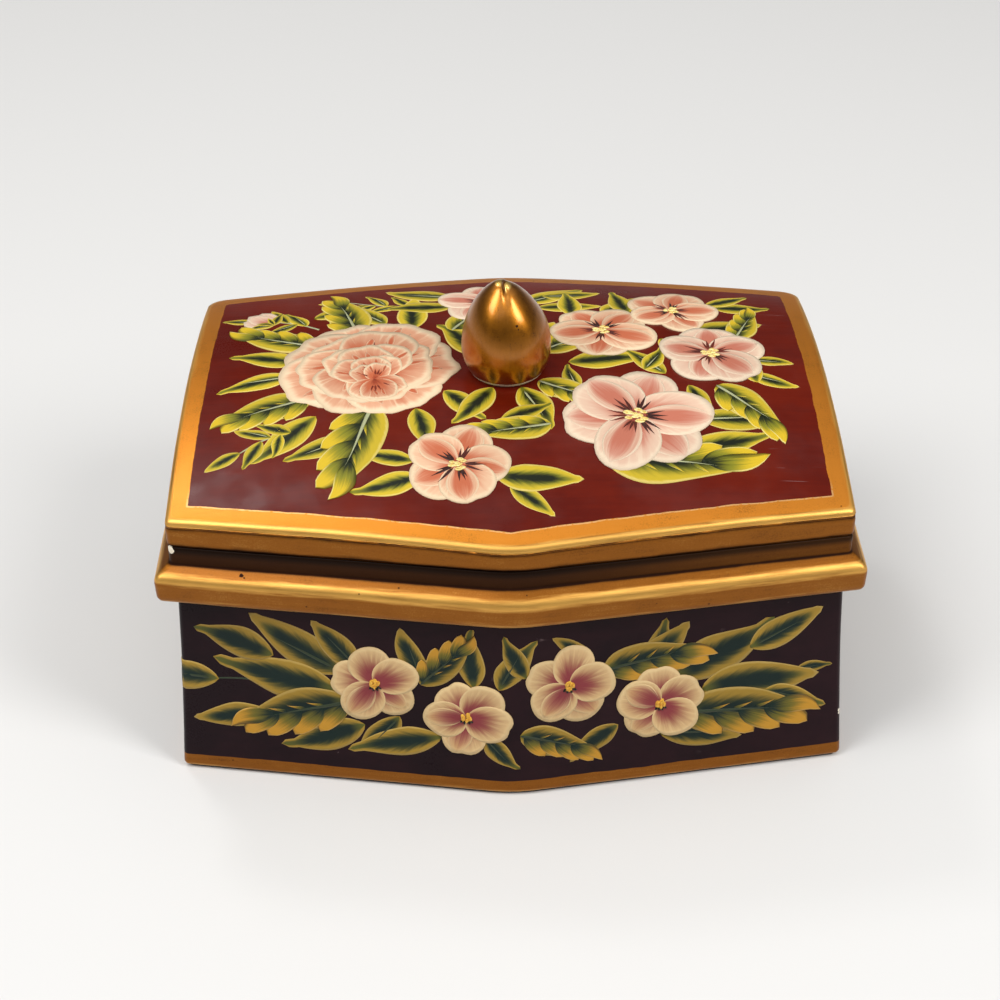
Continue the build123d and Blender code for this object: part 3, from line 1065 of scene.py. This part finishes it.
lidBouquet = {
    "roses": [dict(petals="rose", at=(-40, 4), size=27, turn=104, lift=0.3)],
    "blossoms": [
        dict(petals="pink", at=(36, -23), size=21.5, count=6, turn=10, lift=0.42),
        dict(petals="coral", at=(29, 23), size=16.5, count=5, turn=50, lift=0.3),
        dict(petals="coral", at=(51, 37), size=14.5, count=5, turn=70, lift=0.4),
        dict(petals="pink", at=(60, 9), size=16.5, count=5, turn=20, lift=0.5),
        dict(petals="coral", at=(-14, -42), size=15.5, count=5, turn=0, lift=0.3),
        dict(petals="pink", at=(-6, 45), size=14.5, count=5, turn=20, lift=0.3),
    ],
    "buds": [
        dict(petals="pink", at=(-70, 33), heading=140, size=11, lift=0.2),
    ],
    "lobed": [
        # x, y, heading, length, bend, the side that is cut
        (-56, 16, 152, 28, -0.08, 1), (-44, 24, 112, 30, 0.1, -1),
        (-56, -11, 208, 28, 0.1, -1), (-38, -16, 250, 36, -0.1, 1),
        (26, -39, -12, 42, -0.1, -1), (12, -26, 196, 24, 0.1, 1),
        (10, 10, 40, 24, 0.1, -1), (9, -6, -34, 22, -0.08, 1),
        (60, -8, -44, 28, 0.1, 1), (68, 18, 62, 22, -0.08, -1),
        (-16, 24, 64, 26, 0.08, 1),
    ],
    "leaves": [
        # x, y, heading, length
        (-54, -20, 228, 26), (-62, 0, 186, 22), (-60, 8, 170, 22),
        (-26, -18, -72, 18), (-18, -10, -44, 18), (-28, 26, 92, 24),
        (6, 44, 32, 22), (10, 40, 4, 20), (12, 50, -2, 18),
        (-16, 50, 166, 22), (-16, 42, 186, 20), (38, 36, 112, 18),
        (62, 42, 24, 16), (56, 24, 6, 22), (72, 6, -8, 12),
        (48, -36, 4, 26), (54, -24, 8, 22), (-4, -46, -12, 24),
        (-24, -46, 196, 20), (-26, -40, 166, 17), (14, 20, 128, 16),
        (46, 18, -64, 12), (20, -10, 102, 13), (40, 0, 60, 14),
        (20, 34, 84, 18), (-36, 30, 130, 18),
        (-4, -9, 238, 20), (4, -9, -68, 21), (-8, 8, 118, 24),
        (8, 8, 74, 22), (72, -6, 100, 16), (-2, -24, 20, 16),
        (-6, 26, 40, 20), (52, -8, -66, 16), (-58, 36, 28, 18),
    ],
    "sprigs": [
        dict(at=(-56, -26), heading=204, length=20, leaflets=5, bend=0.1, leaf=11),
        dict(at=(-56, 28), heading=160, length=22, leaflets=5, bend=0.1, leaf=11),
        dict(at=(-24, 44), heading=170, length=24, leaflets=5, bend=-0.08, leaf=11),
    ],
}


def duskyFlower(x, y, size, turn, lift):
    return dict(petals="dusky", at=(x, y), size=size, count=5, turn=turn, lift=lift, heart="wall")


wallBouquet = {
    "blossoms": [
        duskyFlower(-39, 37, 13.4, 100, 0.3),
        duskyFlower(-13, 28, 13.4, 50, 0.42),
        duskyFlower(16, 38, 13.4, 80, 0.3),
        duskyFlower(42, 28, 13.4, 20, 0.42),
    ],
    "lobed": [
        (-46, 30, 202, 34, 0.08, -1), (48, 24, -9, 38, -0.08, 1),
        (2, 22, -14, 24, 0.1, 1), (-26, 38, 54, 22, 0.1, -1),
        (26, 42, 14, 30, 0.08, 1),
    ],
    "leaves": [
        (-48, 40, 154, 32), (-44, 42, 130, 20), (-50, 34, 176, 36),
        (-32, 26, 236, 18), (-20, 20, 194, 28), (-26, 40, 104, 18),
        (-4, 38, 66, 20), (4, 42, 122, 16), (30, 22, 212, 18),
        (34, 38, 50, 24), (46, 36, 36, 34), (54, 31, 12, 34),
        (42, 17, -4, 24), (22, 46, 132, 14), (68, 44, 26, 24),
        (72, 28, -18, 20), (-68, 44, 158, 24), (-70, 24, 198, 22),
        (-84, 34, 176, 26),
    ],
    "sprigs": [
        dict(at=(-66, 34), heading=180, length=20, leaflets=1, bend=0.04, leaf=12),
        dict(at=(62, 33), heading=4, length=20, leaflets=1, bend=-0.04, leaf=12),
    ],
}

# Leaves that fill the gaps, under all the rest
lidFillers = [
    (-44, -30, 205, 20), (0, -50, -40, 16), (70, -2, -18, 15),
    (18, 4, 6, 24), (46, -2, 128, 18), (30, 34, 60, 18), (64, 40, 4, 18),
]
wallFillers = [
    (-11, 38, 92, 21), (-8, 21, -52, 15), (-42, 22, 206, 26),
    (24, 32, 152, 22), (40, 38, 74, 20),
]

endSpray = {
    "blossoms": [duskyFlower(0, 33, 14.5, 20, 0.3)],
    "lobed": [(8, 28, -18, 28, 0.08, 1), (-8, 36, 162, 28, 0.08, 1)],
    "leaves": [
        (6, 38, 38, 26), (-6, 26, 212, 24), (-10, 30, 186, 30),
        (10, 34, 8, 32), (0, 42, 100, 14), (4, 22, -50, 13),
    ],
}


def moved(spray, along, flip):
    # The same spray further round the wall, turned left to right where flip is -1
    def turned(heading):
        return heading if flip > 0 else 180 - heading

    return {
        "blossoms": [{**b, "at": (b["at"][0] * flip + along, b["at"][1])} for b in spray["blossoms"]],
        "lobed": [(x * flip + along, y, turned(heading), length, bend * flip, side * flip)
                  for x, y, heading, length, bend, side in spray["lobed"]],
        "leaves": [(x * flip + along, y, turned(heading), length)
                   for x, y, heading, length in spray["leaves"]],
    }


def layLeaves(kit, leaves, lift, step):
    for index, (x, y, heading, length) in enumerate(leaves):
        layLeaf(kit, (x, y), heading, length, lift + step * index)


def layFillers(kit, fillers):
    # The dice are put back afterwards, so that a filler more or less changes nothing else
    before = dice.getstate()
    layLeaves(kit, fillers, 0.004, 0.004)
    dice.setstate(before)


def paintBouquet(kit, bouquet):
    for sprig in bouquet.get("sprigs", ()):
        laySprig(kit, **sprig)
    layLeaves(kit, bouquet["leaves"], 0.04, 0.0045)
    for index, (x, y, heading, length, bend, side) in enumerate(bouquet["lobed"]):
        layLobedLeaf(kit, (x, y), heading, length, 0.21 + 0.012 * (index % 2), bend, side)
    for bud in bouquet.get("buds", ()):
        layBud(kit, **bud)
    for rose in bouquet.get("roses", ()):
        layRose(kit, **rose)
    for blossom in bouquet["blossoms"]:
        layBlossom(kit, **blossom)


def strokeMap(tree):
    # A point's place in its stroke, side from -1 to 1 and along from 0 to 1, the stroke's chance and the rim
    place = addNode(tree, "ShaderNodeUVMap", uv_map="stroke").outputs[0]
    side = scaled(alongAxis(place, "X"), 2.0, -1.0)
    return side, alongAxis(place, "Y"), readAttribute(tree, "tint"), readAttribute(tree, "rim")


def bristles(across, along, tint, fine, long):
    # Noise drawn out along the way that the brush went
    return grain(joined(times(across, fine), times(along, long), times(tint, 61.0)), 1.0, roughness=0.6)


def brightened(colour, value):
    inputs = {"Value": value, "Color": colour}
    return addNode(colour.id_data, "ShaderNodeHueSaturation", inputs).outputs[0]


def makePetalGroup():
    tree, given, result = newGroup("petalStrokes", {
        "Rim": tone(240, 220, 190),
        "Body": tone(226, 164, 136),
        "Fold": tone(214, 130, 98),
        "Heart": tone(182, 84, 60),
        "HeartReach": 0.4,
        "RimWidth": 0.09,
        "FoldReach": 0.5,
        "Pale": 0.62,
    }, ("Base Color", "Height"))
    side, along, tint, rim = strokeMap(tree)
    streak = bristles(side, along, tint, 5.0, 0.9)
    thin = bristles(side, along, tint, 14.0, 1.1)
    folded = calculate("GREATER_THAN", tint, 0.95)
    # The brush carried two colours: pale at the outline, deeper towards the heart and in a fold
    inward = shifted(shifted(along, streak, 0.7), thin, 0.25)
    deepest = scaled(folded, 0.28, given["FoldReach"])
    colour = mixColour(ramp(inward, plus(deepest, 0.25), minus(deepest, 0.25)), given["Body"], given["Fold"])
    pale = ramp(shifted(shifted(rim, streak, 0.55), thin, 0.25), 0.35, 0.95)
    colour = mixColour(times(pale, given["Pale"]), colour, given["Rim"])
    star = shifted(scaled(times(side, side), 0.3, along), thin, 0.4)
    heart = ramp(star, given["HeartReach"], times(given["HeartReach"], 0.3))
    colour = mixColour(times(heart, 0.88), colour, given["Heart"])
    # Thin pale strokes run in from the rim
    drawn = times(ramp(thin, 0.54, 0.66), ramp(rim, 0.45, 0.9))
    colour = mixColour(times(drawn, 0.55), colour, given["Rim"])
    inner = minus(1.0, given["RimWidth"])
    edge = ramp(shifted(rim, thin, 0.16), minus(inner, 0.06), plus(inner, 0.05))
    edge = times(edge, ramp(along, 0.12, 0.45))
    colour = brightened(mixColour(edge, colour, given["Rim"]), scaled(calculate("FRACT", tint), 0.16, 0.9))
    feed(result, {"Base Color": colour, "Height": plus(thin, times(edge, 0.8))})
    return tree


def makeLeafGroup():
    tree, given, result = newGroup("leafStrokes", {
        "Outline": tone(236, 220, 130),
        "Edge": tone(206, 186, 52),
        "Blade": tone(128, 132, 36),
        "Core": tone(24, 32, 16),
        "CoreReach": 0.5,
    }, ("Base Color", "Height"))
    side, along, tint, rim = strokeMap(tree)
    feather = scaled(rim, -0.35, along)
    streak = bristles(feather, rim, tint, 15.0, 1.2)
    reach = shifted(shifted(rim, streak, 0.45), bristles(feather, side, tint, 4.0, 0.8), 0.5)
    ends = times(ramp(along, 0.02, 0.2), ramp(along, 0.96, 0.66))
    core = ramp(reach, given["CoreReach"], times(given["CoreReach"], 0.2))
    colour = mixColour(ramp(reach, 0.3, 0.75), given["Blade"], given["Edge"])
    colour = mixColour(times(core, ends), colour, given["Core"])
    outline = ramp(shifted(rim, streak, 0.14), 0.84, 0.96)
    colour = mixColour(times(outline, 0.7), colour, given["Outline"])
    feed(result, {"Base Color": brightened(colour, scaled(tint, 0.24, 0.86)), "Height": streak})
    return tree


def makeLobeGroup():
    # A comma stroke: dark where it starts at the rib, bright at its round end, with one side in shade
    tree, given, result = newGroup("lobeStrokes", {
        "Outline": tone(240, 226, 140),
        "Edge": tone(222, 194, 44),
        "Blade": tone(140, 140, 36),
        "Core": tone(30, 40, 18),
    }, ("Base Color", "Height"))
    side, along, tint, rim = strokeMap(tree)
    mirror = scaled(calculate("GREATER_THAN", tint, 0.95), -2.0, 1.0)
    upper = times(side, mirror)
    streak = bristles(side, along, tint, 9.0, 1.0)
    reach = shifted(along, streak, 0.5)
    colour = mixColour(ramp(reach, 0.4, 0.78), given["Blade"], given["Edge"])
    under = ramp(shifted(upper, streak, 0.5), -0.35, -0.95)
    dark = calculate("MAXIMUM", ramp(reach, 0.45, 0.12), times(under, 0.75))
    colour = mixColour(dark, colour, given["Core"])
    outline = times(ramp(rim, 0.82, 0.96), ramp(along, 0.3, 0.7))
    lit = ramp(upper, -0.6, 0.3)
    feed(result, {"Base Color": mixColour(times(outline, lit), colour, given["Outline"]), "Height": streak})
    return tree


petalGroup = makePetalGroup()
leafGroup = makeLeafGroup()
lobeGroup = makeLobeGroup()


def makeStrokeMaterial(finish, group, **given):
    material, tree, shader = newMaterial(finish)
    given = {key: tone(*value) if isinstance(value, tuple) else value for key, value in given.items()}
    made = placeGroup(tree, group, **given)
    feed(shader.inputs, {
        "Base Color": made["Base Color"],
        "Roughness": scaled(grain(millimetres(tree), 0.4), 0.24, 0.34),
        "Specular IOR Level": 0.18,
        "Normal": bumped(made["Height"], 0.06),
    })
    return material


def makeLineMaterial(finish, dark, red, stem):
    # Flicks, ribs and stems: the stroke's tint picks the pot that the brush was dipped in
    material, tree, shader = newMaterial(finish)
    side, along, tint = strokeMap(tree)[:3]
    colour = mixColour(ramp(tint, 0.0, 0.4), tone(*dark), tone(*red))
    colour = mixColour(ramp(tint, 0.5, 0.7), colour, tone(*stem))
    worn = times(ramp(bristles(side, along, tint, 3.0, 6.0), 0.45, 0.3), 0.35)
    feed(shader.inputs, {"Base Color": mixColour(worn, colour, tone(*red)), "Roughness": 0.42,
                         "Specular IOR Level": 0.25})
    return material


def makeAntherMaterial(finish, light, warm, dark):
    material, tree, shader = newMaterial(finish)
    spotted = ramp(grain(millimetres(tree), 1.4, 2.0), 0.35, 0.7)
    colour = mixColour(spotted, tone(*light), tone(*warm))
    colour = mixColour(calculate("LESS_THAN", readAttribute(tree, "tint"), 0.1), colour, tone(*dark))
    feed(shader.inputs, {"Base Color": colour, "Roughness": 0.4, "Specular IOR Level": 0.3})
    return material


# The pots of paint, one for each piece of the painting

lidPots = {
    "rose": dict(finish="rosePetal", group=petalGroup, Rim=(232, 206, 170), Body=(212, 146, 112),
                 Fold=(188, 98, 64), Heart=(146, 58, 34), FoldReach=0.8, Pale=0.3),
    "coral": dict(finish="coralPetal", group=petalGroup, Rim=(230, 204, 168), Body=(206, 138, 106),
                  Fold=(188, 102, 70), Heart=(146, 58, 34)),
    "pink": dict(finish="pinkPetal", group=petalGroup, Rim=(230, 208, 180), Body=(206, 152, 130),
                 Fold=(188, 112, 90), Heart=(134, 58, 46)),
    "leaves": dict(finish="lidLeaf", group=leafGroup, Outline=(228, 208, 122), Edge=(196, 170, 42),
                   Blade=(116, 116, 32), Core=(22, 28, 14)),
    "lobes": dict(finish="lidLobe", group=lobeGroup, Outline=(232, 214, 130), Edge=(208, 176, 38),
                  Blade=(126, 124, 32), Core=(26, 34, 16)),
    "lines": dict(finish="lidLine", dark=(52, 26, 22), red=(118, 44, 28), stem=(168, 172, 132)),
    "anthers": dict(finish="lidAnther", light=(244, 232, 164), warm=(226, 190, 92), dark=(58, 34, 22)),
}
wallPots = {
    "dusky": dict(finish="duskyPetal", group=petalGroup, Rim=(218, 188, 138), Body=(202, 160, 108),
                  Fold=(184, 128, 96), Heart=(124, 32, 52), HeartReach=0.98),
    "leaves": dict(finish="wallLeaf", group=leafGroup, Outline=(176, 148, 84), Edge=(158, 126, 46),
                   Blade=(88, 88, 34), Core=(12, 32, 28), CoreReach=0.85),
    "lobes": dict(finish="wallLobe", group=lobeGroup, Outline=(200, 158, 84), Edge=(192, 140, 44),
                  Blade=(104, 96, 34), Core=(16, 36, 30)),
    "lines": dict(finish="wallLine", dark=(20, 24, 20), red=(70, 30, 30), stem=(48, 60, 40)),
    "anthers": dict(finish="wallAnther", light=(236, 186, 70), warm=(206, 140, 40), dark=(18, 22, 16)),
}
paintThickness = 0.6  # how deep a patch reaches, so that its underside lies within the wall


def finishPainting(kit, pots, start, body):
    makers = {"lines": makeLineMaterial, "anthers": makeAntherMaterial}
    for name, brush in kit.items():
        material = makers.get(name, makeStrokeMaterial)(**pots[name])
        piece = finishMesh(brush["bm"], start + name, body, material)
        skin = piece.modifiers.new("thickness", "SOLIDIFY")
        skin.thickness = paintThickness * mm
        skin.offset = -1.0
        skin.use_rim = True


def paintLid():
    kit = {name: newBrush(onLid) for name in lidPots}
    paintBouquet(kit, lidBouquet)
    layFillers(kit, lidFillers)
    finishPainting(kit, lidPots, "lid_", "lid")


def paintWalls():
    kit = {name: newBrush(onWall) for name in wallPots}
    paintBouquet(kit, wallBouquet)
    halfWay = frontQuarter + backQuarter
    for along, flip in ((frontQuarter, -1), (-frontQuarter, 1), (halfWay - 44, 1), (halfWay + 44, -1)):
        paintBouquet(kit, moved(endSpray, along, flip))
    layFillers(kit, wallFillers)
    finishPainting(kit, wallPots, "wall_", "body")


paintLid()
paintWalls()
print("flowers painted")


# Floor, lamps and camera

stageValues = {
    "floorSize": 40.0,
    "floorColour": (222, 221, 219),
    "horizon": 0.1,
    "zenith": 0.8,
    "zenithFrom": 0.4,
    "band": 0.4,
    "bandTop": 0.16,
    "sunFrom": (-0.3, -0.55, 1.0),
    "sunStrength": 0.28,
    "sunAngle": 50.0,
    "lamps": {
        # name: place, aimed at, size, watts
        "windowLeft": ((-0.56, -0.36, 1.0), (0.0, 0.0, 0.09), (0.42, 0.75), 6.5),
        "windowRight": ((0.84, -0.58, 1.0), (0.0, 0.0, 0.09), (0.42, 0.75), 9.5),
        "ceiling": ((-0.4, 0.6, 1.15), (0.0, 0.0, 0.09), (0.22, 0.22), 2.0),
    },
}


def makeStage():
    v = stageValues
    bm = bmesh.new()
    bmesh.ops.create_grid(bm, x_segments=1, y_segments=1, size=v["floorSize"])
    material, tree, shader = newMaterial("floorCloth")
    feed(shader.inputs, {"Base Color": tone(*v["floorColour"]), "Roughness": 0.9, "Specular IOR Level": 0.2})
    meshObject(bm, "floor", material)
    lamps = [(name, "AREA", *values) for name, values in v["lamps"].items()]
    lamps.append(("fill", "SUN", v["sunFrom"], (0.0, 0.0, 0.0), None, v["sunStrength"]))
    for name, kind, place, aim, size, watts in lamps:
        lamp = bpy.data.lights.new(name, kind)
        lamp.energy = watts
        if kind == "AREA":
            lamp.shape = "RECTANGLE"
            lamp.size, lamp.size_y = size
        else:
            lamp.angle = radians(v["sunAngle"])
        turn = (Vector(aim) - Vector(place)).to_track_quat("-Z", "Y").to_matrix().to_4x4()
        addObject(name, lamp).matrix_world = Matrix.Translation(place) @ turn
    # The room: dim near the horizon, brighter overhead
    world = bpy.data.worlds.new("studio")
    bpy.context.scene.world = world
    world.use_nodes = True
    tree = world.node_tree
    tree.nodes.clear()
    upward = alongAxis(addNode(tree, "ShaderNodeTexCoord").outputs["Generated"], "Z")
    strength = mixValue(ramp(upward, v["zenithFrom"], 1.0), v["horizon"], v["zenith"])
    # A thin band as bright as the far floor, so that the two meet without a line
    strength = mixValue(ramp(upward, v["bandTop"], 0.0), strength, v["band"])
    light = addNode(tree, "ShaderNodeBackground", {"Color": (1.0, 1.0, 1.0, 1.0), "Strength": strength})
    addNode(tree, "ShaderNodeOutputWorld", {"Surface": light.outputs[0]})


cameraValues = {
    "place": (-6.8, -471.5, 399.55),
    "turn": 0.55,
    "dip": 36.49,
    "roll": -0.58,
    "lens": 69.55,
}


def makeCamera():
    v = cameraValues
    data = bpy.data.cameras.new("camera")
    data.lens = v["lens"]
    data.sensor_width = 36.0
    data.clip_start = 0.01
    camera = addObject("camera", data)
    camera.matrix_world = (Matrix.Translation(Vector(v["place"]) * mm)
                           @ Matrix.Rotation(-radians(v["turn"]), 4, "Z")
                           @ Matrix.Rotation(pi / 2 - radians(v["dip"]), 4, "X")
                           @ Matrix.Rotation(radians(v["roll"]), 4, "Z"))
    bpy.context.scene.camera = camera


makeStage()
makeCamera()
bpy.context.scene.view_settings.view_transform = "Standard"
print("stage and camera made")
